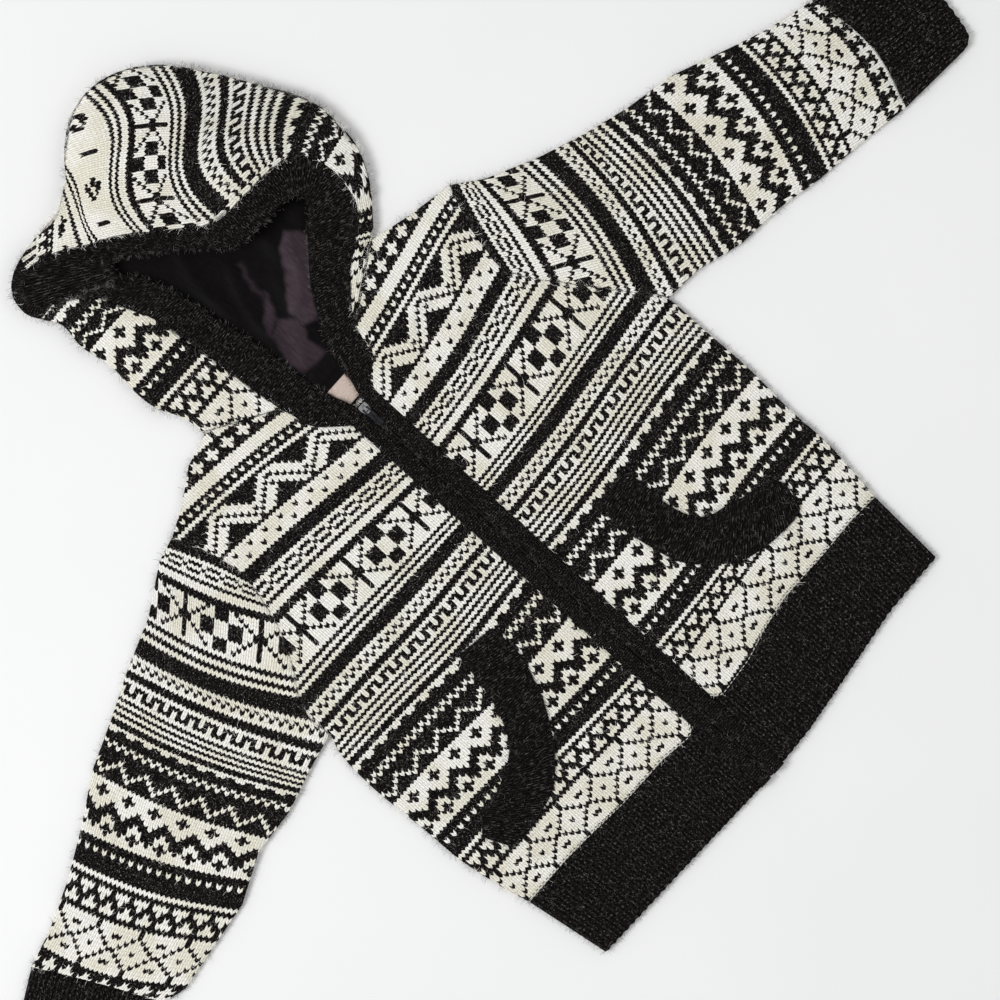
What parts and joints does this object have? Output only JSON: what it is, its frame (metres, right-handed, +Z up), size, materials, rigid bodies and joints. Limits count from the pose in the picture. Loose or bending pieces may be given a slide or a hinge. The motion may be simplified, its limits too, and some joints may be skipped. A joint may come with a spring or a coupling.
{
  "type": "zip-up sweater",
  "caption": "Hooded zip-up sweater in chunky black and cream Fair Isle knit, laid flat on its back with the zip closed and a satin lining in the hood.",
  "frame": {"origin": "underside of the back panel, on the zip line, 300 mm above the hem's bottom edge", "axes": "+X to the viewer's right across the sweater, +Y from the hem towards the hood, +Z up from the floor"},
  "size_m": [1.408, 0.961, 0.0458],
  "materials": {
    "fair_isle_knit": "fuzzy chunky knit, black and cream",
    "black_rib": "ribbed wool, black",
    "satin_lining": "satin, dark brown-purple",
    "label_cotton": "woven label, blank",
    "zip_tape": "black woven tape with dark teeth",
    "zip_metal": "dull nickel",
    "pull_metal": "blackened metal"
  },
  "bodies": {
    "sweater": {"back_panel": "fair_isle_knit", "front_left": "fair_isle_knit", "front_right": "fair_isle_knit", "sleeve_left": "fair_isle_knit", "sleeve_right": "fair_isle_knit", "hood": "fair_isle_knit", "hem_back": "black_rib", "hem_front_left": "black_rib", "hem_front_right": "black_rib", "cuff_left": "black_rib", "cuff_right": "black_rib", "zip_band_left": "black_rib", "zip_band_right": "black_rib", "pocket_band_left": "black_rib", "pocket_band_right": "black_rib", "face_band": "black_rib", "hood_lining": "satin_lining", "neck_label": "label_cotton", "zip_chain": "zip_tape", "zip_slider": "zip_metal"},
    "pull": {"zip_pull": "pull_metal"}
  },
  "joints": [
    {"name": "pull_flip", "type": "hinge", "parent": "sweater", "child": "pull", "pos_m": [0, 0.2468, 0.0114], "axis": [-1, 0, 0], "range_deg": [0, 150]}
  ]
}
